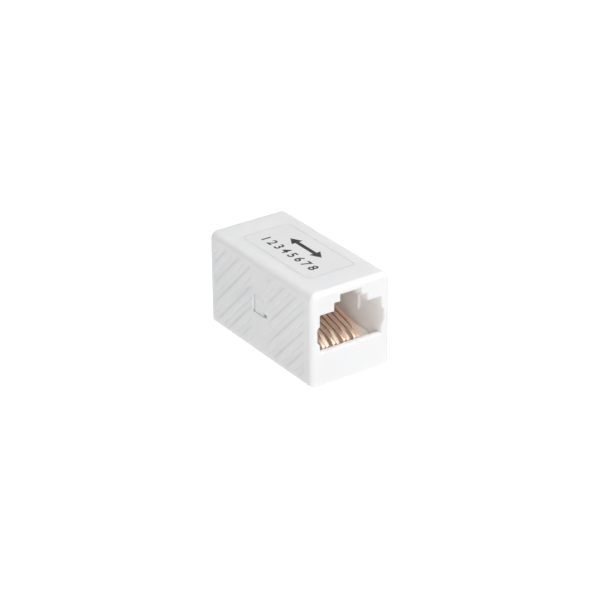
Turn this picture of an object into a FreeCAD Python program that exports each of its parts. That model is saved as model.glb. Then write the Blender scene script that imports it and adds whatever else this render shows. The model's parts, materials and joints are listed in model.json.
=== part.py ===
"""Eight-way modular inline coupler: two sockets back to back in one plastic housing.

A plug goes in at each end. Its eight blades press on eight spring contacts, and a small
circuit board joins each contact of one socket to that of the same number in the other.

Frame, in millimetres: X across, Y along the length with the front socket at -Y, Z up.
The origin is at the middle of the base.
"""
import FreeCAD, Part
import math
import os

# Outside of the housing.
LENGTH = 29.5
WIDTH = 15.2
HEIGHT = 16.5
TOP_EDGE_R = 1.4
END_EDGE_R = 0.9
BASE_EDGE_BEVEL = 0.25

# Socket opening: a plug slot with two steps above it for the plug's latch.
PLUG_HALF_W = 6.0
PLUG_FLOOR_Z = 5.85
PLUG_TOP_Z = 12.55
STEP_HALF_W = 3.25
STEP_TOP_Z = 13.95
LATCH_HALF_W = 2.08
LATCH_TOP_Z = 15.15
MOUTH_CHAMFER = 0.15

# Shallow relief in both side walls of each mouth, for the grip of the plug.
RELIEF_DEPTH = 0.45
RELIEF_RUN = 6.5
RELIEF_LOW_Z = 7.3
RELIEF_FLAT_LOW_Z = 7.95
RELIEF_FLAT_TOP_Z = 10.2
RELIEF_TOP_Z = 10.55

# Walls and inner supports of the housing.
LIP_THICKNESS = 1.0
FLOOR_THICKNESS = 1.2
LEDGE_W = 1.1

# Circuit board, which lies on the two ledges.
BOARD_THICKNESS = 1.0
BOARD_HALF_L = 11.0
BOARD_Z = 1.9

# Rear cap: a plate set into the rear end, with a snap arm down each side.
RIM = 0.7
PLATE_THICKNESS = 1.4
PLATE_CORNER_R = 0.5
PLATE_EDGE_BEVEL = 0.1
SEAM_GAP = 0.05
ARM_THICKNESS = 0.9
ARM_LOW_Z = 6.8
ARM_TOP_Z = 10.4
ARM_CLEARANCE = 0.1
POST_W = 2.4

# Snap window in each side wall, the hook in it and the notch that lets a tool reach it.
WINDOW_FRONT_Y = -1.35
WINDOW_REAR_Y = 1.95
WINDOW_LOW_Z = 7.0
WINDOW_TOP_Z = 10.2
HOOK_FRONT_GAP = 0.3
HOOK_REAR_GAP = 0.1
HOOK_TOP_GAP = 0.03
HOOK_INSET = 0.1
HOOK_REAR_BEVEL = 0.4
HOOK_FRONT_BEVEL = 0.2
NOTCH_FRONT_Y = -2.0
NOTCH_REAR_Y = -0.9
NOTCH_LOW_Z = 7.2
NOTCH_TOP_Z = 7.75

# Slanting grip ribs: flat bands left standing between grooves, in two panels a side.
RIB_PITCH = 3.61
GROOVE_RUN = 1.8
GROOVE_DEPTH = 0.12
GROOVE_FADE = 0.7
PANEL_LOW_Z = 0.6
PANEL_TOP_Z = 15.0
PANEL_INNER_Y = 2.2
REAR_PANEL_Y = 13.7
FRONT_PANEL_Y = 12.7
REAR_FIRST_GROOVE = 1.52
FRONT_FIRST_GROOVE = 18.2

# Label film in its recess on top.
LABEL_L = 18.8
LABEL_W = 9.1
LABEL_CORNER_R = 0.55
LABEL_RECESS = 0.1
LABEL_THICKNESS = 0.09
LABEL_GAP = 0.03

# Contact carriers: one behind each mouth, set over the board.
CARRIER_HALF_W = 5.9
CARRIER_FRONT_Z = 4.6
CARRIER_REAR_Z = 5.5
CARRIER_NOSE = 11.2
CHEEK_NOSE = 12.2
CHEEK_HALF_IN = 4.05
WALL_HALF_W = 5.3
WALL_FRONT = 2.5
WALL_BACK = 0.15
WALL_CLEARANCE = 0.08

# Spring contacts, of flat strip. Distances from the middle of the coupler are positive outwards.
# The values in pairs are for the odd pins and for the even ones.
PIN_COUNT = 8
PIN_PITCH = 1.02
STRIP_W = 0.74
STRIP_THICKNESS = 0.36
RUN_Z = 3.6
TAIL_END_Z = 1.35
TAIL_BEND_R = 0.5
TAIL_PLACES = (3.4, 5.4)
NOSE_RADII = (0.68, 0.94)
NOSE_REACHES = (12.04, 12.58)
KNEE_R = 2.0
KNEE_PLACES = (9.85, 11.25)
GENTLE_RISE = 0.26
FREE_END = 1.3
FREE_END_Z = 8.46
STRIP_GAP = 0.04
SLOT_BACK = 0.9
SLOT_LOW_Z = 5.6
SLOT_TOP_Z = 10.6

# Values that follow from the ones above.
HALF_L = LENGTH / 2
HALF_W = WIDTH / 2
BOARD_TOP_Z = BOARD_Z + BOARD_THICKNESS
CAP_INNER_Y = HALF_L - PLATE_THICKNESS
ARM_FRONT_Y = WINDOW_FRONT_Y + HOOK_FRONT_GAP
SLOT_W = STRIP_W + 2 * STRIP_GAP
SPILL = 1.0
TOLERANCE = 1e-4

X_AXIS = FreeCAD.Vector(1, 0, 0)
Y_AXIS = FreeCAD.Vector(0, 1, 0)
Z_AXIS = FreeCAD.Vector(0, 0, 1)
ORIGIN = FreeCAD.Vector(0, 0, 0)


def block(low_x, high_x, low_y, high_y, low_z, high_z):
    """A box from its lower to its upper limit along each axis."""
    corner = FreeCAD.Vector(low_x, low_y, low_z)
    return Part.makeBox(high_x - low_x, high_y - low_y, high_z - low_z, corner)


def prism(points, direction):
    """The closed outline through the points, swept along a straight direction."""
    outline = Part.makePolygon(points + points[:1])
    return Part.Face(outline).extrude(direction)


def prism_along_y(outline_xz, low_y, high_y):
    """An outline of (x, z) points, swept from one Y to another."""
    points = [FreeCAD.Vector(x, low_y, z) for x, z in outline_xz]
    return prism(points, FreeCAD.Vector(0, high_y - low_y, 0))


def prism_along_x(outline_yz, low_x, high_x):
    """An outline of (y, z) points, swept from one X to another."""
    points = [FreeCAD.Vector(low_x, y, z) for y, z in outline_yz]
    return prism(points, FreeCAD.Vector(high_x - low_x, 0, 0))


def prism_along_z(outline_xy, low_z, high_z):
    """An outline of (x, y) points, swept from one Z to another."""
    points = [FreeCAD.Vector(x, y, low_z) for x, y in outline_xy]
    return prism(points, FreeCAD.Vector(0, 0, high_z - low_z))


def mirrored_pair(shape):
    """A shape and its mirror image on the other side of the coupler."""
    return [shape, shape.mirror(ORIGIN, X_AXIS)]


def turned(shape):
    """A shape of the front socket, turned round to the rear one."""
    result = shape.copy()
    result.rotate(ORIGIN, Z_AXIS, 180)
    return result


def same(first, second):
    """Whether two lengths are equal, to the accuracy of the modeller."""
    return abs(first - second) < TOLERANCE


def edges_where(shape, test):
    """The edges of a shape whose bounding box passes a test."""
    return [edge for edge in shape.Edges if test(edge.BoundBox)]


def mirrored_outline(right_half):
    """A whole (x, z) outline from its right half, listed from the bottom up."""
    left_half = [(-x, z) for x, z in reversed(right_half)]
    return right_half + left_half


def socket_outline(floor_z, clearance=0.0, body_half_w=PLUG_HALF_W):
    """The stepped outline of the socket, or of what fills it with a clearance."""
    return mirrored_outline([
        (body_half_w - clearance, floor_z),
        (body_half_w - clearance, PLUG_TOP_Z - clearance),
        (STEP_HALF_W - clearance, PLUG_TOP_Z - clearance),
        (STEP_HALF_W - clearance, STEP_TOP_Z - clearance),
        (LATCH_HALF_W - clearance, STEP_TOP_Z - clearance),
        (LATCH_HALF_W - clearance, LATCH_TOP_Z - clearance),
    ])


def front_reliefs():
    """The two shallow side reliefs of the front mouth, as tools to cut with."""
    outline = [
        (PLUG_HALF_W - SPILL, RELIEF_LOW_Z),
        (PLUG_HALF_W, RELIEF_LOW_Z),
        (PLUG_HALF_W + RELIEF_DEPTH, RELIEF_FLAT_LOW_Z),
        (PLUG_HALF_W + RELIEF_DEPTH, RELIEF_FLAT_TOP_Z),
        (PLUG_HALF_W, RELIEF_TOP_Z),
        (PLUG_HALF_W - SPILL, RELIEF_TOP_Z),
    ]
    relief = prism_along_y(outline, -HALF_L - SPILL, -HALF_L + RELIEF_RUN)
    return mirrored_pair(relief)


def outer_body():
    """The outside of the housing: a block with softened edges."""
    body = block(-HALF_W, HALF_W, -HALF_L, HALF_L, 0, HEIGHT)
    long_top_edges = edges_where(body, lambda box: same(box.ZMin, HEIGHT) and same(box.XMin, box.XMax))
    body = body.makeFillet(TOP_EDGE_R, long_top_edges)
    end_edges = edges_where(body, lambda box: same(box.YMin, box.YMax) and box.ZMax > HEIGHT / 4)
    body = body.makeFillet(END_EDGE_R, end_edges)
    base_edges = edges_where(body, lambda box: same(box.ZMax, 0))
    return body.makeChamfer(BASE_EDGE_BEVEL, base_edges)


def rounded_block(low_x, high_x, low_y, high_y, low_z, high_z, radius, axis):
    """A box whose four edges along one axis are rounded."""
    solid = block(low_x, high_x, low_y, high_y, low_z, high_z)
    edges = [edge for edge in solid.Edges if same(abs(edge.tangentAt(edge.FirstParameter).dot(axis)), 1)]
    return solid.makeFillet(radius, edges)


def groove_panel(near_y, far_y):
    """The space that the grooves of one panel lie in, wider outwards on all four sides."""
    floor_x = HALF_W - GROOVE_DEPTH
    outer_x = HALF_W + GROOVE_DEPTH
    outline_xy = [
        (floor_x, near_y + GROOVE_FADE),
        (floor_x, far_y - GROOVE_FADE),
        (outer_x, far_y + GROOVE_FADE),
        (outer_x, near_y - GROOVE_FADE),
    ]
    outline_xz = [
        (floor_x, PANEL_LOW_Z + GROOVE_FADE),
        (floor_x, PANEL_TOP_Z - GROOVE_FADE),
        (outer_x, PANEL_TOP_Z + GROOVE_FADE),
        (outer_x, PANEL_LOW_Z - GROOVE_FADE),
    ]
    along_z = prism_along_z(outline_xy, PANEL_LOW_Z - SPILL, PANEL_TOP_Z + SPILL)
    along_y = prism_along_y(outline_xz, near_y - SPILL, far_y + SPILL)
    return along_z.common(along_y)


def side_grooves(near_y, far_y, first_groove):
    """The slanting grooves of one panel on the +X side, as tools to cut with.

    Every groove runs up towards the front at 45 degrees. Its place is the sum of the
    distances from the rear end and from the top, which is the same all along it. Its
    ends rise to the surface over a short slope.
    """
    panel = groove_panel(near_y, far_y)
    last_place = HALF_L - near_y + HEIGHT - PANEL_LOW_Z
    grooves = []
    place = first_groove
    while place < last_place:
        low_y = HALF_L + HEIGHT - PANEL_LOW_Z - place
        top_y = HALF_L + HEIGHT - PANEL_TOP_Z - place
        outline = [
            (low_y, PANEL_LOW_Z),
            (top_y, PANEL_TOP_Z),
            (top_y - GROOVE_RUN, PANEL_TOP_Z),
            (low_y - GROOVE_RUN, PANEL_LOW_Z),
        ]
        bar = prism_along_x(outline, HALF_W - GROOVE_DEPTH, HALF_W + GROOVE_DEPTH)
        groove = bar.common(panel)
        if groove.Solids:
            grooves.append(groove)
        place += RIB_PITCH
    return grooves


def side_openings():
    """The snap window and its tool notch on the +X side, as tools to cut with."""
    inner_x = PLUG_HALF_W - SPILL
    outer_x = HALF_W + SPILL
    window = block(inner_x, outer_x, WINDOW_FRONT_Y, WINDOW_REAR_Y, WINDOW_LOW_Z, WINDOW_TOP_Z)
    notch = block(inner_x, outer_x, NOTCH_FRONT_Y, NOTCH_REAR_Y, NOTCH_LOW_Z, NOTCH_TOP_Z)
    return [window, notch]


def arm_channel():
    """The channel in the +X side wall that the snap arm slides down."""
    outer_x = PLUG_HALF_W + ARM_THICKNESS + SEAM_GAP
    low_z = ARM_LOW_Z - ARM_CLEARANCE
    top_z = ARM_TOP_Z + ARM_CLEARANCE
    return block(PLUG_HALF_W - SPILL, outer_x, WINDOW_FRONT_Y, HALF_L + SPILL, low_z, top_z)


def housing():
    """The outer shell: closed front wall with the front mouth, open rear end."""
    shell = outer_body()
    cavity = prism_along_y(socket_outline(FLOOR_THICKNESS), -HALF_L + LIP_THICKNESS, HALF_L + SPILL)
    mouth = prism_along_y(socket_outline(PLUG_FLOOR_Z), -HALF_L - SPILL, -HALF_L + LIP_THICKNESS + SPILL)
    shell = shell.cut([cavity, mouth])

    ledge = block(PLUG_HALF_W - LEDGE_W, PLUG_HALF_W, -HALF_L + LIP_THICKNESS, CAP_INNER_Y,
                  FLOOR_THICKNESS, BOARD_Z)
    stop = block(PLUG_HALF_W - LEDGE_W, PLUG_HALF_W, -HALF_L + LIP_THICKNESS, -BOARD_HALF_L,
                 BOARD_Z, BOARD_TOP_Z)
    shell = shell.fuse(mirrored_pair(ledge) + mirrored_pair(stop))

    plate_seat = rounded_block(-HALF_W + RIM, HALF_W - RIM, CAP_INNER_Y, HALF_L + SPILL,
                               RIM, HEIGHT - RIM, PLATE_CORNER_R, Y_AXIS)
    recess = rounded_block(-LABEL_W / 2, LABEL_W / 2, -LABEL_L / 2, LABEL_L / 2,
                           HEIGHT - LABEL_RECESS, HEIGHT + SPILL, LABEL_CORNER_R, Z_AXIS)
    tools = [plate_seat, recess]
    tools += front_reliefs() + [turned(relief) for relief in front_reliefs()]
    side_tools = side_openings() + [arm_channel()]
    side_tools += side_grooves(PANEL_INNER_Y, REAR_PANEL_Y, REAR_FIRST_GROOVE)
    side_tools += side_grooves(-FRONT_PANEL_Y, -PANEL_INNER_Y, FRONT_FIRST_GROOVE)
    for tool in side_tools:
        tools += mirrored_pair(tool)
    shell = shell.cut(tools).removeSplitter()

    mouth_edges = edges_where(
        shell, lambda box: same(box.YMin, -HALF_L) and same(box.YMax, -HALF_L) and inside_mouth(box))
    return shell.makeChamfer(MOUTH_CHAMFER, mouth_edges)


def inside_mouth(box):
    """Whether an edge's bounding box lies within the limits of a socket mouth."""
    within_width = max(abs(box.XMin), abs(box.XMax)) < PLUG_HALF_W + RELIEF_DEPTH + TOLERANCE
    return within_width and box.ZMin > PLUG_FLOOR_Z - TOLERANCE and box.ZMax < LATCH_TOP_Z + TOLERANCE


def snap_arm():
    """The +X snap arm of the rear cap, with its hook in the window, resting on the sill."""
    root_x = PLUG_HALF_W
    face_x = PLUG_HALF_W + ARM_THICKNESS
    hook_x = HALF_W - HOOK_INSET
    hook_rear_y = WINDOW_REAR_Y - HOOK_REAR_GAP
    arm = block(root_x, face_x, ARM_FRONT_Y, CAP_INNER_Y, ARM_LOW_Z, ARM_TOP_Z)
    outline = [
        (root_x, ARM_FRONT_Y),
        (hook_x - HOOK_FRONT_BEVEL, ARM_FRONT_Y),
        (hook_x, ARM_FRONT_Y + HOOK_FRONT_BEVEL),
        (hook_x, hook_rear_y - HOOK_REAR_BEVEL),
        (hook_x - HOOK_REAR_BEVEL, hook_rear_y),
        (root_x, hook_rear_y),
    ]
    hook = prism_along_z(outline, WINDOW_LOW_Z, WINDOW_TOP_Z - HOOK_TOP_GAP)
    notch = block(face_x, hook_x + SPILL, NOTCH_FRONT_Y, NOTCH_REAR_Y, NOTCH_LOW_Z, NOTCH_TOP_Z)
    return arm.fuse(hook).cut(notch)


def rear_cap():
    """The plate that closes the rear end, with the rear mouth, snap arms and board posts."""
    inset = RIM + SEAM_GAP
    plate = rounded_block(-HALF_W + inset, HALF_W - inset, CAP_INNER_Y, HALF_L,
                          inset, HEIGHT - inset, PLATE_CORNER_R, Y_AXIS)
    rear_edges = edges_where(plate, lambda box: same(box.YMin, HALF_L))
    plate = plate.makeChamfer(PLATE_EDGE_BEVEL, rear_edges)
    post = block(CARRIER_HALF_W - POST_W, CARRIER_HALF_W, BOARD_HALF_L, CAP_INNER_Y,
                 BOARD_Z + SEAM_GAP, BOARD_TOP_Z - SEAM_GAP)
    cap = plate.fuse(mirrored_pair(snap_arm()) + mirrored_pair(post))
    mouth = prism_along_y(socket_outline(PLUG_FLOOR_Z), CAP_INNER_Y - SPILL, HALF_L + SPILL)
    reliefs = [turned(relief) for relief in front_reliefs()]
    cap = cap.cut([mouth] + reliefs).removeSplitter()
    mouth_edges = edges_where(
        cap, lambda box: same(box.YMin, HALF_L) and same(box.YMax, HALF_L) and inside_mouth(box))
    return cap.makeChamfer(MOUTH_CHAMFER, mouth_edges)


def pin_x(pin):
    """Where a pin of the front socket lies across it. Pin 1 is on the +X side."""
    return ((PIN_COUNT + 1) / 2 - pin) * PIN_PITCH


def of_pin(values, pin):
    """The value of a pair that belongs to a pin: the first for odd pins, the second for even."""
    return values[(pin + 1) % 2]


def circuit_board():
    """The board that joins the two sockets, with a hole for each contact's tail."""
    board = block(-CARRIER_HALF_W, CARRIER_HALF_W, -BOARD_HALF_L, BOARD_HALF_L, BOARD_Z, BOARD_TOP_Z)
    half_l = STRIP_THICKNESS / 2 + STRIP_GAP
    holes = []
    for pin in range(1, PIN_COUNT + 1):
        x = pin_x(pin)
        y = -of_pin(TAIL_PLACES, pin)
        hole = block(x - SLOT_W / 2, x + SLOT_W / 2, y - half_l, y + half_l,
                     BOARD_Z - SPILL, BOARD_TOP_Z + SPILL)
        holes += [hole, turned(hole)]
    return board.cut(holes)


def front_carrier():
    """The insert that holds the front contacts: grooved base with two cheeks, and slotted wall.

    The top of the base rises a little towards the wall.
    """
    base = prism_along_x([
        (-CHEEK_NOSE, BOARD_TOP_Z),
        (-WALL_BACK, BOARD_TOP_Z),
        (-WALL_BACK, CARRIER_REAR_Z),
        (-CHEEK_NOSE, CARRIER_FRONT_Z),
    ], -CARRIER_HALF_W, CARRIER_HALF_W)
    wall_outline = socket_outline(CARRIER_FRONT_Z, WALL_CLEARANCE, WALL_HALF_W + WALL_CLEARANCE)
    wall = prism_along_y(wall_outline, -WALL_FRONT, -WALL_BACK)
    carrier = base.fuse(wall)
    nose_space = block(-CHEEK_HALF_IN, CHEEK_HALF_IN, -CHEEK_NOSE - SPILL, -CARRIER_NOSE,
                       BOARD_TOP_Z - SPILL, CARRIER_REAR_Z)
    tools = [nose_space]
    for pin in range(1, PIN_COUNT + 1):
        low_x = pin_x(pin) - SLOT_W / 2
        high_x = pin_x(pin) + SLOT_W / 2
        groove_end = -of_pin(TAIL_PLACES, pin) + STRIP_THICKNESS / 2 + STRIP_GAP
        tools.append(block(low_x, high_x, -CARRIER_NOSE - SPILL, groove_end,
                           BOARD_TOP_Z - SPILL, RUN_Z + STRIP_THICKNESS / 2))
        tools.append(block(low_x, high_x, -WALL_FRONT - SPILL, -SLOT_BACK, SLOT_LOW_Z, SLOT_TOP_Z))
    return carrier.cut(tools).removeSplitter()


def contact_bends(pin):
    """The three bends of a front contact's middle line, from its tail to its free end.

    Each is a centre (y, z), a radius, which is negative where the strip turns the other
    way, and the angles of the outward line from the centre at its start and end. A
    contact comes up out of the board, runs forward under the carrier, turns back over
    its nose, slopes up to its knee, and rises less steeply to its free end.
    """
    nose_r = of_pin(NOSE_RADII, pin)
    nose_y = nose_r - of_pin(NOSE_REACHES, pin)
    nose_z = RUN_Z + nose_r
    knee_y = -of_pin(KNEE_PLACES, pin)
    knee_z = FREE_END_Z - GENTLE_RISE * (-FREE_END - knee_y)
    quarter = math.pi / 2
    direct = math.atan2(knee_z - nose_z, knee_y - nose_y)
    steep = direct - math.asin(nose_r / math.hypot(knee_y - nose_y, knee_z - nose_z))
    gentle = math.atan(GENTLE_RISE)
    reach = KNEE_R / math.cos((steep - gentle) / 2)
    middle = (steep + gentle) / 2
    knee_centre = (knee_y + reach * math.sin(middle), knee_z - reach * math.cos(middle))
    tail_centre = (-of_pin(TAIL_PLACES, pin) - TAIL_BEND_R, RUN_Z - TAIL_BEND_R)
    return [
        (tail_centre, -TAIL_BEND_R, 0, quarter),
        ((nose_y, nose_z), nose_r, 3 * quarter, quarter + steep),
        (knee_centre, KNEE_R, quarter + steep, quarter + gentle),
    ]


def contact_side(pin, shift):
    """One long side of a front contact: its middle line, shifted towards the plug."""
    x = pin_x(pin) - STRIP_W / 2

    def around(centre, radius, angle):
        return FreeCAD.Vector(x, centre[0] + radius * math.cos(angle), centre[1] + radius * math.sin(angle))

    bends = contact_bends(pin)
    gentle = bends[-1][3]
    place = FreeCAD.Vector(x, -of_pin(TAIL_PLACES, pin) - shift, TAIL_END_Z)
    edges = []
    for centre, radius, first, last in bends:
        shifted = abs(radius + shift)
        start = around(centre, shifted, first)
        end = around(centre, shifted, last)
        edges.append(Part.makeLine(place, start))
        edges.append(Part.Arc(start, around(centre, shifted, (first + last) / 2), end).toShape())
        place = end
    edges.append(Part.makeLine(place, around((-FREE_END, FREE_END_Z), shift, gentle)))
    return edges


def front_contact(pin):
    """One contact of the front socket: a bent outline, as wide as the strip."""
    upper = contact_side(pin, STRIP_THICKNESS / 2)
    lower = contact_side(pin, -STRIP_THICKNESS / 2)
    free_end = Part.makeLine(upper[-1].lastVertex().Point, lower[-1].lastVertex().Point)
    tail_end = Part.makeLine(lower[0].firstVertex().Point, upper[0].firstVertex().Point)
    outline = Part.Wire(upper + [free_end] + lower[::-1] + [tail_end])
    return Part.Face(outline).extrude(FreeCAD.Vector(STRIP_W, 0, 0))


def label():
    """The thin film in the recess on top."""
    half_w = LABEL_W / 2 - LABEL_GAP
    half_l = LABEL_L / 2 - LABEL_GAP
    low_z = HEIGHT - LABEL_RECESS
    return rounded_block(-half_w, half_w, -half_l, half_l, low_z, low_z + LABEL_THICKNESS,
                         LABEL_CORNER_R - LABEL_GAP, Z_AXIS)


def all_nodes():
    """Every separate piece of the coupler, by name."""
    nodes = {
        "housing": housing(),
        "rear_cap": rear_cap(),
        "circuit_board": circuit_board(),
        "front_contact_carrier": front_carrier(),
        "rear_contact_carrier": turned(front_carrier()),
        "label": label(),
    }
    for pin in range(1, PIN_COUNT + 1):
        contact = front_contact(pin)
        nodes["contact_front_%d" % pin] = contact
        nodes["contact_rear_%d" % pin] = turned(contact)
    return nodes


os.makedirs("parts", exist_ok=True)
for name, shape in all_nodes().items():
    shape.exportStep("parts/%s.step" % name)
    facts = (name, len(shape.Solids), shape.Volume, shape.isValid())
    print("%-24s solids %d, volume %.2f mm3, valid %s" % facts)
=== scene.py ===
"""Dresses the inline coupler: finishes for every piece, the print on its label, light and camera."""
import json
import math

import bpy
from mathutils import Matrix, Vector


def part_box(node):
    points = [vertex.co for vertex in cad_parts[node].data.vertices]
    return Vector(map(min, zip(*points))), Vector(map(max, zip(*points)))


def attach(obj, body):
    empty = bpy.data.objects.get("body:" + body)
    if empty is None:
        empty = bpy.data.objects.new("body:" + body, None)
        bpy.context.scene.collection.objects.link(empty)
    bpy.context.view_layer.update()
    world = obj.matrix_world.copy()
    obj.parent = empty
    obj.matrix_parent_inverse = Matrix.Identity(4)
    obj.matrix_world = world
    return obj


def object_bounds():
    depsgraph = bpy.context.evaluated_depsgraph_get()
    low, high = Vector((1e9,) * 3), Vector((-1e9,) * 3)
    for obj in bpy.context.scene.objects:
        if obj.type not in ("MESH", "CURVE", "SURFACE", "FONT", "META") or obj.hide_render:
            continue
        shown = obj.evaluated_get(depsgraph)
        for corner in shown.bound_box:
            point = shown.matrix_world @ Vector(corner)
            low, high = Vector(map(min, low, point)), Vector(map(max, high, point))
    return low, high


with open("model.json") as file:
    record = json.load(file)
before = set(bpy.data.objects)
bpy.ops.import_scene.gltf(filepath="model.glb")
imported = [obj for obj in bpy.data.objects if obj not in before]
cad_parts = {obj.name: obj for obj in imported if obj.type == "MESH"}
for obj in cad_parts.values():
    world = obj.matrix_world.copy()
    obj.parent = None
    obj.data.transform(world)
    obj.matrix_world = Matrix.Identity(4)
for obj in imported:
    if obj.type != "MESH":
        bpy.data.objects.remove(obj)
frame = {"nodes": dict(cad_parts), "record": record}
cad_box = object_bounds()

MM = 0.001

# Camera, fitted to the object's edges. Angles in degrees, lengths in millimetres.
CAMERA_AZIMUTH = -34.577
CAMERA_ELEVATION = 26.975
CAMERA_ROLL = -0.370
CAMERA_DISTANCE = 351.96
CAMERA_RIGHT = 0.282
CAMERA_UP = -0.675
CAMERA_LENS = 129.43
SENSOR_WIDTH = 36.0

# The nearest and the farthest that the camera sees, in metres.
CAMERA_NEAR = 0.01
CAMERA_FAR = 20.0

# Each finish runs between two shades.
HOUSING_SHADES = ((0.84, 0.84, 0.845), (0.86, 0.86, 0.865))
# Painted light: the inside shades make the inner faces of the housing lighter than its outside.
PAINTED_INSIDE_LIGHT = ((0.990, 0.985, 0.990), (0.995, 0.990, 0.995))
CARRIER_SHADES = ((0.99, 0.86, 0.73), (0.99, 0.88, 0.76))
LABEL_SHADES = ((0.82, 0.82, 0.825), (0.84, 0.84, 0.845))
GOLD_SHADES = ((0.94, 0.68, 0.55), (0.98, 0.78, 0.64))
BOARD_SHADES = ((0.012, 0.075, 0.030), (0.03, 0.16, 0.06))
INK_SHADES = ((0.035, 0.033, 0.034), (0.075, 0.072, 0.073))
FLOOR_SHADES = ((0.11, 0.11, 0.11), (0.12, 0.12, 0.12))

# The colour of the floor's own glow and of the surround.
WHITE = (1.0, 1.0, 1.0, 1.0)

# Where on a field's scale from 0 to 1 the first shade ends and the second one begins.
SHADE_STOPS = (0.35, 0.65)

# Noise fields: how fine they are, and how much detail they have.
PLASTIC_CLOUD = (160.0, 2.0)
BOARD_GRAIN = (5200.0, 2.0)
INK_CLOUD = (1900.0, 4.0)
FLOOR_CLOUD = (3.0, 2.0)
GOLD_STREAKS = (2600.0, 3.0)
GRAIN_DETAIL = 3.0

# The streaks are drawn out along the contacts, which run along Y and Z.
STREAK_STRETCH = (1.0, 0.08, 0.08)

# Moulded plastics: shades, middle roughness, fineness and height in millimetres of the mould grain,
# and the share of light that comes back from under the surface.
PLASTICS = {
    "housing_plastic": (HOUSING_SHADES, 0.46, 7000.0, 0.006, 0.5),
    "carrier_plastic": (CARRIER_SHADES, 0.5, 6000.0, 0.006, 0.6),
    "label_film": (LABEL_SHADES, 0.45, 4200.0, 0.004, 0.0),
}
ROUGHNESS_SPREAD = 0.06
GRAIN_STRENGTH = 0.35
PLASTIC_IOR = 1.5

# How far light spreads under the plastic's surface, in millimetres, and the shares of red, green and blue.
GLOW_DEPTH = 1.2
GLOW_COLOURS = (1.0, 0.85, 0.78)

# The lowest and the highest roughness of each finish, and the floor's one value.
GOLD_ROUGHNESS = (0.27, 0.42)
BOARD_ROUGHNESS = (0.28, 0.42)
INK_ROUGHNESS = (0.5, 0.7)
FLOOR_ROUGHNESS = 0.9

# Fine relief: its height in millimetres and its strength.
GOLD_RELIEF = (0.004, 0.3)
BOARD_RELIEF = (0.02, 0.5)

# The bands of the circuit board: how fine they are, and how wavy.
BAND_SCALE = 155.0
BAND_WAVINESS = 1.5

# How far the outer skin of the housing reaches in from each side, along X, Y and Z, in millimetres; further
# in, the colour is painted lighter, as painted light.
SKIN_DEPTHS = (0.9, 0.12, 0.9)

# Painted shade in narrow hollows: its colour, how wide a hollow that takes it may be, in millimetres, and how
# many rays look for hollows.
PAINTED_SHADE_COLOUR = (0.48, 0.48, 0.49)
PAINTED_SHADE_REACH = 0.5
PAINTED_SHADE_RAYS = 8

# Softened edges of the moulded pieces and of the contacts. Lengths in millimetres, angles in degrees.
EDGE_SOFTNESS = 0.05
CONTACT_SOFTNESS = 0.08
EDGE_SEGMENTS = 2
SHARP_ANGLE = 35.0

# How near two points are that become one, in millimetres, and the angle between two faces that are joined.
WELD_DISTANCE = 0.0005
FLAT_ANGLE = 0.05

# How strongly large faces pull the shading at their edges towards their own, out of 100.
FACE_WEIGHT = 100

# Print on the label, in millimetres. It reads from the rear to the front, with its top towards +X.
PRINT_THICKNESS = 0.01
ARROW_LENGTH = 8.9
ARROW_HEIGHT = 2.2
ARROW_ROW_X = 1.57
DIGITS = "12345678"
DIGIT_ROW_LENGTH = 15.3
DIGIT_HEIGHT = 1.8
DIGIT_ROW_X = -1.79
DIGIT_BOLDNESS = 0.05

# The length of each head of the arrow and half the width of its stem, as shares of its height.
HEAD_SHARE = 0.9
STEM_SHARE = 0.17

# How high a digit stands in the font's size, the steps in each of its curves and its turn in degrees.
DIGIT_SHARE = 0.73
DIGIT_STEPS = 6
DIGIT_TURN = -90.0

# The floor: half its width in metres, and how strongly it glows.
FLOOR_REACH = 2.0
FLOOR_GLOW = 0.96

# Lights: place in metres, side of the square in metres, power in watts. All of them face one point.
KEY_LIGHT = ((-0.184, -0.504, 0.458), 0.4, 1.85)
LOW_LIGHT = ((-0.440, -0.525, 0.154), 0.4, 0.88)
TOP_LIGHT = ((0.20, -0.10, 0.66), 0.5, 3.95)
LIGHTS_FACE = (0, 0, 0.008)

# The surround's glow falls from the horizon's to the sky's over a height given as the sine of the angle
# above the horizon.
HORIZON_GLOW = 1.0
SKY_GLOW = 0.05
GLOW_HEIGHT = 0.12


# ---------------------------------------------------------------- node materials

def new_material(name):
    """A new node material, its tree and its main shader."""
    material = bpy.data.materials.new(name)
    material.use_nodes = True
    return material, material.node_tree, material.node_tree.nodes["Principled BSDF"]


def add_noise(tree, scale, detail, stretch=(1.0, 1.0, 1.0)):
    """A noise field in the object's own coordinates, as a value from 0 to 1."""
    place = tree.nodes.new("ShaderNodeTexCoord")
    mapping = tree.nodes.new("ShaderNodeMapping")
    mapping.inputs["Scale"].default_value = stretch
    noise = tree.nodes.new("ShaderNodeTexNoise")
    noise.inputs["Scale"].default_value = scale
    noise.inputs["Detail"].default_value = detail
    tree.links.new(place.outputs["Object"], mapping.inputs["Vector"])
    tree.links.new(mapping.outputs["Vector"], noise.inputs["Vector"])
    return noise.outputs["Fac"]


def cloudy_colour(tree, field, shades):
    """A colour that runs between two shades along a field."""
    ramp = tree.nodes.new("ShaderNodeValToRGB")
    for stop, position, shade in zip(ramp.color_ramp.elements, SHADE_STOPS, shades):
        stop.position = position
        stop.color = (*shade, 1.0)
    tree.links.new(field, ramp.inputs["Fac"])
    return ramp.outputs["Color"]


def vary_colour(tree, shader, field, shades):
    """The base colour runs between two shades along a field."""
    tree.links.new(cloudy_colour(tree, field, shades), shader.inputs["Base Color"])


def vary_roughness(tree, shader, field, low, high):
    """The roughness runs between two values along a field."""
    spread = tree.nodes.new("ShaderNodeMapRange")
    spread.inputs["To Min"].default_value = low
    spread.inputs["To Max"].default_value = high
    tree.links.new(field, spread.inputs["Value"])
    tree.links.new(spread.outputs["Result"], shader.inputs["Roughness"])


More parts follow.
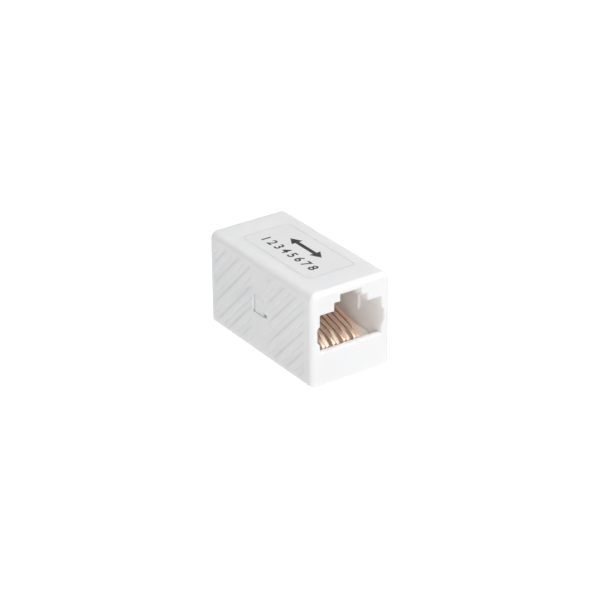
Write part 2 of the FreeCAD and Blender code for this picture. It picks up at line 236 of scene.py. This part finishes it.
def add_relief(tree, shader, field, height, strength):
    """A fine relief on the surface, of a height in millimetres."""
    bump = tree.nodes.new("ShaderNodeBump")
    bump.inputs["Strength"].default_value = strength
    bump.inputs["Distance"].default_value = height * MM
    tree.links.new(field, bump.inputs["Height"])
    tree.links.new(bump.outputs["Normal"], shader.inputs["Normal"])


def moulded_plastic(name):
    """Moulded plastic: near-even colour, a faint mould grain and a soft glow from inside."""
    shades, roughness, grain_scale, grain_height, glow = PLASTICS[name]
    material, tree, shader = new_material(name)
    cloud = add_noise(tree, *PLASTIC_CLOUD)
    grain = add_noise(tree, grain_scale, GRAIN_DETAIL)
    vary_colour(tree, shader, cloud, shades)
    vary_roughness(tree, shader, grain, roughness - ROUGHNESS_SPREAD, roughness + ROUGHNESS_SPREAD)
    add_relief(tree, shader, grain, grain_height, GRAIN_STRENGTH)
    shader.inputs["IOR"].default_value = PLASTIC_IOR
    shader.inputs["Subsurface Weight"].default_value = glow
    shader.inputs["Subsurface Radius"].default_value = GLOW_COLOURS
    shader.inputs["Subsurface Scale"].default_value = GLOW_DEPTH * MM
    return material


def colour_mix(tree, factor):
    """Mixes two colours by a factor. Gives the sockets of the first, of the second and of the result."""
    mix = tree.nodes.new("ShaderNodeMix")
    mix.data_type = "RGBA"
    tree.links.new(factor, mix.inputs["Factor"])
    first, second = [socket for socket in mix.inputs if socket.type == "RGBA"]
    result = next(socket for socket in mix.outputs if socket.type == "RGBA")
    return first, second, result


def near(tree, value, middle, reach):
    """1 where a value lies within a reach of a middle, and 0 elsewhere."""
    test = tree.nodes.new("ShaderNodeMath")
    test.operation = "COMPARE"
    test.inputs[1].default_value = middle
    test.inputs[2].default_value = reach
    tree.links.new(value, test.inputs[0])
    return test.outputs[0]


def multiplied(tree, first, second):
    """The product of two values."""
    product = tree.nodes.new("ShaderNodeMath")
    product.operation = "MULTIPLY"
    tree.links.new(first, product.inputs[0])
    tree.links.new(second, product.inputs[1])
    return product.outputs[0]


def inside_light_mask(tree):
    """A mask in the object's own coordinates: 1 on the inner faces of the shell, where the painted light
    goes, 0 outside.
    """
    place = tree.nodes.new("ShaderNodeTexCoord")
    parts = tree.nodes.new("ShaderNodeSeparateXYZ")
    tree.links.new(place.outputs["Object"], parts.inputs[0])
    low, high = cad_box
    centre = (low + high) / 2
    reach = (high - low) / 2 - Vector(SKIN_DEPTHS) * MM
    across, along, up = [
        near(tree, value, middle, room) for value, middle, room in zip(parts.outputs, centre, reach)
    ]
    return multiplied(tree, multiplied(tree, across, along), up)


def paint_hollow_shade(material):
    """Darkens the narrow hollows of a piece with painted shade."""
    tree = material.node_tree
    base_colour = tree.nodes["Principled BSDF"].inputs["Base Color"]
    unshaded = base_colour.links[0].from_socket
    # Painted shade: an ambient occlusion mask darkens the hollows towards a grey.
    hollows = tree.nodes.new("ShaderNodeAmbientOcclusion")
    hollows.only_local = True
    hollows.samples = PAINTED_SHADE_RAYS
    hollows.inputs["Distance"].default_value = PAINTED_SHADE_REACH * MM
    first, second, result = colour_mix(tree, hollows.outputs["AO"])
    first.default_value = (*PAINTED_SHADE_COLOUR, 1.0)
    tree.links.new(unshaded, second)
    tree.links.new(result, base_colour)


def paint_inside_light(material):
    """Paints light on the inner faces of a shell: a lighter colour than its outside, standing in for light.
    """
    tree = material.node_tree
    base_colour = tree.nodes["Principled BSDF"].inputs["Base Color"]
    outer = base_colour.links[0].from_socket
    inner = cloudy_colour(tree, add_noise(tree, *PLASTIC_CLOUD), PAINTED_INSIDE_LIGHT)
    # Painted light: the inner faces take a lighter colour than the outside.
    first, second, result = colour_mix(tree, inside_light_mask(tree))
    tree.links.new(outer, first)
    tree.links.new(inner, second)
    tree.links.new(result, base_colour)


def shell_plastic():
    """The plastic of the housing and its cap, with painted shade in its grooves and hollows and painted light
    on its inside.
    """
    material = moulded_plastic("housing_plastic")
    paint_hollow_shade(material)
    paint_inside_light(material)
    return material


def gold_plating():
    """Polished gold plate, drawn along the wire, so that its sheen varies in long streaks."""
    material, tree, shader = new_material("gold_plating")
    streaks = add_noise(tree, *GOLD_STREAKS, STREAK_STRETCH)
    vary_colour(tree, shader, streaks, GOLD_SHADES)
    vary_roughness(tree, shader, streaks, *GOLD_ROUGHNESS)
    add_relief(tree, shader, streaks, *GOLD_RELIEF)
    shader.inputs["Metallic"].default_value = 1.0
    return material


def solder_mask():
    """Green circuit board with raised bands along its length, like tracks under the mask."""
    material, tree, shader = new_material("solder_mask")
    bands = tree.nodes.new("ShaderNodeTexWave")
    bands.wave_type = "BANDS"
    bands.bands_direction = "X"
    bands.inputs["Scale"].default_value = BAND_SCALE
    bands.inputs["Distortion"].default_value = BAND_WAVINESS
    place = tree.nodes.new("ShaderNodeTexCoord")
    tree.links.new(place.outputs["Object"], bands.inputs["Vector"])
    vary_colour(tree, shader, bands.outputs["Fac"], BOARD_SHADES)
    grain = add_noise(tree, *BOARD_GRAIN)
    vary_roughness(tree, shader, grain, *BOARD_ROUGHNESS)
    add_relief(tree, shader, bands.outputs["Fac"], *BOARD_RELIEF)
    return material


def printing_ink():
    """Dark grey ink with the slight unevenness of pad printing."""
    material, tree, shader = new_material("printing_ink")
    cloud = add_noise(tree, *INK_CLOUD)
    vary_colour(tree, shader, cloud, INK_SHADES)
    vary_roughness(tree, shader, cloud, *INK_ROUGHNESS)
    return material


def pale_floor():
    """A floor that is pale by its own glow. Its dark colour keeps the object's shadow on it faint."""
    material, tree, shader = new_material("pale_floor")
    cloud = add_noise(tree, *FLOOR_CLOUD)
    vary_colour(tree, shader, cloud, FLOOR_SHADES)
    shader.inputs["Roughness"].default_value = FLOOR_ROUGHNESS
    shader.inputs["Specular IOR Level"].default_value = 0.0
    shader.inputs["Emission Color"].default_value = WHITE
    shader.inputs["Emission Strength"].default_value = FLOOR_GLOW
    return material


# ---------------------------------------------------------------- CAD pieces

def smoothing_group():
    """A node group that shades a mesh smooth, except across its sharp edges."""
    group = bpy.data.node_groups.new("smooth_but_sharp", "GeometryNodeTree")
    group.interface.new_socket("Geometry", in_out="INPUT", socket_type="NodeSocketGeometry")
    group.interface.new_socket("Geometry", in_out="OUTPUT", socket_type="NodeSocketGeometry")
    start = group.nodes.new("NodeGroupInput")
    end = group.nodes.new("NodeGroupOutput")
    faces = group.nodes.new("GeometryNodeSetShadeSmooth")
    faces.domain = "FACE"
    edges = group.nodes.new("GeometryNodeSetShadeSmooth")
    edges.domain = "EDGE"
    edges.inputs["Shade Smooth"].default_value = False
    angle = group.nodes.new("GeometryNodeInputMeshEdgeAngle")
    compare = group.nodes.new("FunctionNodeCompare")
    compare.operation = "GREATER_THAN"
    compare.inputs["B"].default_value = math.radians(SHARP_ANGLE)
    group.links.new(start.outputs[0], faces.inputs["Geometry"])
    group.links.new(faces.outputs["Geometry"], edges.inputs["Geometry"])
    group.links.new(angle.outputs["Unsigned Angle"], compare.inputs["A"])
    group.links.new(compare.outputs["Result"], edges.inputs["Selection"])
    group.links.new(edges.outputs["Geometry"], end.inputs[0])
    return group


def soften(piece, group, softness):
    """Joins the flat faces of a CAD mesh, rounds its sharp edges a little and shades it smooth."""
    weld = piece.modifiers.new("weld", "WELD")
    weld.merge_threshold = WELD_DISTANCE * MM
    flats = piece.modifiers.new("joined_flats", "DECIMATE")
    flats.decimate_type = "DISSOLVE"
    flats.angle_limit = math.radians(FLAT_ANGLE)
    if softness:
        bevel = piece.modifiers.new("soft_edges", "BEVEL")
        bevel.width = softness * MM
        bevel.segments = EDGE_SEGMENTS
        bevel.limit_method = "ANGLE"
        bevel.angle_limit = math.radians(SHARP_ANGLE)
        bevel.use_clamp_overlap = True
    smooth = piece.modifiers.new("smooth", "NODES")
    smooth.node_group = group
    even = piece.modifiers.new("even_flats", "WEIGHTED_NORMAL")
    even.mode = "FACE_AREA"
    even.weight = FACE_WEIGHT
    even.keep_sharp = True


def paint(piece, material):
    """Gives a piece one material all over."""
    piece.data.materials.clear()
    piece.data.materials.append(material)


def dress_cad_pieces():
    """Finishes every CAD node by the material slot that it has in the record."""
    finishes = {
        "housing_plastic": (shell_plastic(), EDGE_SOFTNESS),
        "carrier_plastic": (moulded_plastic("carrier_plastic"), EDGE_SOFTNESS),
        "label_film": (moulded_plastic("label_film"), 0.0),
        "board": (solder_mask(), 0.0),
        "contact_plating": (gold_plating(), CONTACT_SOFTNESS),
    }
    group = smoothing_group()
    slots = {part["node"]: part["material_slot"] for part in frame["record"]["subparts"]}
    for name, piece in frame["nodes"].items():
        material, softness = finishes[slots[name]]
        paint(piece, material)
        soften(piece, group, softness)


# ---------------------------------------------------------------- print on the label

def add_print_piece(name, mesh, ink):
    """A printed piece of the label."""
    piece = bpy.data.objects.new(name, mesh)
    bpy.context.scene.collection.objects.link(piece)
    paint(piece, ink)
    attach(piece, "root")


def flat_mesh(name, outline, low_z):
    """A thin flat mesh from an outline of (x, y) points in millimetres, standing on a height in metres."""
    count = len(outline)
    high_z = low_z + PRINT_THICKNESS * MM
    vertices = [(x * MM, y * MM, z) for z in (low_z, high_z) for x, y in outline]
    bottom = tuple(reversed(range(count)))
    top = tuple(range(count, 2 * count))
    faces = [bottom, top]
    for here in range(count):
        after = (here + 1) % count
        faces.append((here, after, count + after, count + here))
    mesh = bpy.data.meshes.new(name)
    mesh.from_pydata(vertices, [], faces)
    mesh.update()
    return mesh


def arrow_outline():
    """The outline of a bold double-headed arrow, as (x, y) points in millimetres."""
    tip = ARROW_LENGTH / 2
    neck = tip - ARROW_HEIGHT * HEAD_SHARE
    wing = ARROW_HEIGHT / 2
    stem = ARROW_HEIGHT * STEM_SHARE
    right_half = [(0, -tip), (wing, -neck), (stem, -neck), (stem, neck), (wing, neck)]
    left_half = [(-x, -y) for x, y in right_half]
    return [(ARROW_ROW_X + x, y) for x, y in right_half + left_half]


def add_arrow(label_top, ink):
    """A bold double-headed arrow, for the two ends that the coupler joins."""
    name = "print_arrow"
    add_print_piece(name, flat_mesh(name, arrow_outline(), label_top), ink)


def digit_mesh(name, digit):
    """The mesh of one digit, round the origin and as thick as the print."""
    curve = bpy.data.curves.new(name, "FONT")
    curve.body = digit
    curve.align_x = "CENTER"
    curve.align_y = "CENTER"
    curve.size = DIGIT_HEIGHT * MM / DIGIT_SHARE
    curve.extrude = PRINT_THICKNESS * MM / 2
    curve.offset = DIGIT_BOLDNESS * MM
    curve.resolution_u = DIGIT_STEPS
    text = bpy.data.objects.new("text", curve)
    bpy.context.scene.collection.objects.link(text)
    bpy.context.view_layer.update()
    mesh = bpy.data.meshes.new_from_object(text)
    bpy.data.objects.remove(text)
    return mesh


def add_digits(label_top, ink):
    """The pin numbers, spread along the second row."""
    pitch = DIGIT_ROW_LENGTH / len(DIGITS)
    turn = Matrix.Rotation(math.radians(DIGIT_TURN), 4, "Z")
    middle_z = label_top + PRINT_THICKNESS * MM / 2
    for place, digit in enumerate(DIGITS):
        middle_y = DIGIT_ROW_LENGTH / 2 - pitch * (place + 0.5)
        shift = Matrix.Translation((DIGIT_ROW_X * MM, middle_y * MM, middle_z))
        name = "print_digit_" + digit
        mesh = digit_mesh(name, digit)
        mesh.transform(shift @ turn)
        add_print_piece(name, mesh, ink)


def add_print():
    """Everything that is printed on the label."""
    low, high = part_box("label")
    label_top = high.z
    ink = printing_ink()
    add_arrow(label_top, ink)
    add_digits(label_top, ink)


# ---------------------------------------------------------------- stage, light and camera

def add_floor():
    """A wide pale floor under the object."""
    mesh = bpy.data.meshes.new("floor")
    corners = [(-FLOOR_REACH, -FLOOR_REACH, 0), (FLOOR_REACH, -FLOOR_REACH, 0),
               (FLOOR_REACH, FLOOR_REACH, 0), (-FLOOR_REACH, FLOOR_REACH, 0)]
    mesh.from_pydata(corners, [], [(0, 1, 2, 3)])
    floor = bpy.data.objects.new("floor", mesh)
    bpy.context.scene.collection.objects.link(floor)
    paint(floor, pale_floor())


def add_soft_light(name, place, size, power):
    """A square soft box that faces the object."""
    light = bpy.data.lights.new(name, "AREA")
    light.shape = "SQUARE"
    light.size = size
    light.energy = power
    lamp = bpy.data.objects.new(name, light)
    bpy.context.scene.collection.objects.link(lamp)
    lamp.location = place
    aim = Vector(LIGHTS_FACE) - Vector(place)
    lamp.rotation_euler = aim.to_track_quat("-Z", "Y").to_euler()


def add_surround():
    """A surround that is pale at the horizon and dims a little way up."""
    world = bpy.data.worlds.new("surround")
    world.use_nodes = True
    tree = world.node_tree
    background = tree.nodes["Background"]
    background.inputs["Color"].default_value = WHITE
    direction = tree.nodes.new("ShaderNodeTexCoord")
    parts = tree.nodes.new("ShaderNodeSeparateXYZ")
    glow = tree.nodes.new("ShaderNodeMapRange")
    glow.inputs["From Max"].default_value = GLOW_HEIGHT
    glow.inputs["To Min"].default_value = HORIZON_GLOW
    glow.inputs["To Max"].default_value = SKY_GLOW
    tree.links.new(direction.outputs["Generated"], parts.inputs[0])
    tree.links.new(parts.outputs["Z"], glow.inputs["Value"])
    tree.links.new(glow.outputs["Result"], background.inputs["Strength"])
    bpy.context.scene.world = world


def add_light():
    """The surround, two soft boxes in front and to the left, and one above and to the right."""
    add_surround()
    bpy.context.scene.view_settings.view_transform = "Standard"
    add_soft_light("key_light", *KEY_LIGHT)
    add_soft_light("low_light", *LOW_LIGHT)
    add_soft_light("top_light", *TOP_LIGHT)


def camera_axes():
    """The directions to the camera's right, up and back, from its fitted angles."""
    azimuth = math.radians(CAMERA_AZIMUTH)
    elevation = math.radians(CAMERA_ELEVATION)
    roll = math.radians(CAMERA_ROLL)
    back = Vector((math.sin(azimuth) * math.cos(elevation),
                   -math.cos(azimuth) * math.cos(elevation),
                   math.sin(elevation)))
    level_right = Vector((0, 0, 1)).cross(back).normalized()
    level_up = back.cross(level_right)
    right = level_right * math.cos(roll) + level_up * math.sin(roll)
    up = level_up * math.cos(roll) - level_right * math.sin(roll)
    return right, up, back


def add_camera():
    """The camera, at the fitted angle and distance."""
    right, up, back = camera_axes()
    low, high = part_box("housing")
    target = Vector((0, 0, (low.z + high.z) / 2))
    place = target + (back * CAMERA_DISTANCE + right * CAMERA_RIGHT + up * CAMERA_UP) * MM
    data = bpy.data.cameras.new("camera")
    data.sensor_width = SENSOR_WIDTH
    data.lens = CAMERA_LENS
    data.clip_start = CAMERA_NEAR
    data.clip_end = CAMERA_FAR
    camera = bpy.data.objects.new("camera", data)
    bpy.context.scene.collection.objects.link(camera)
    camera.matrix_world = Matrix.Translation(place) @ Matrix((right, up, back)).transposed().to_4x4()
    bpy.context.scene.camera = camera


dress_cad_pieces()
add_print()
add_floor()
add_light()
add_camera()
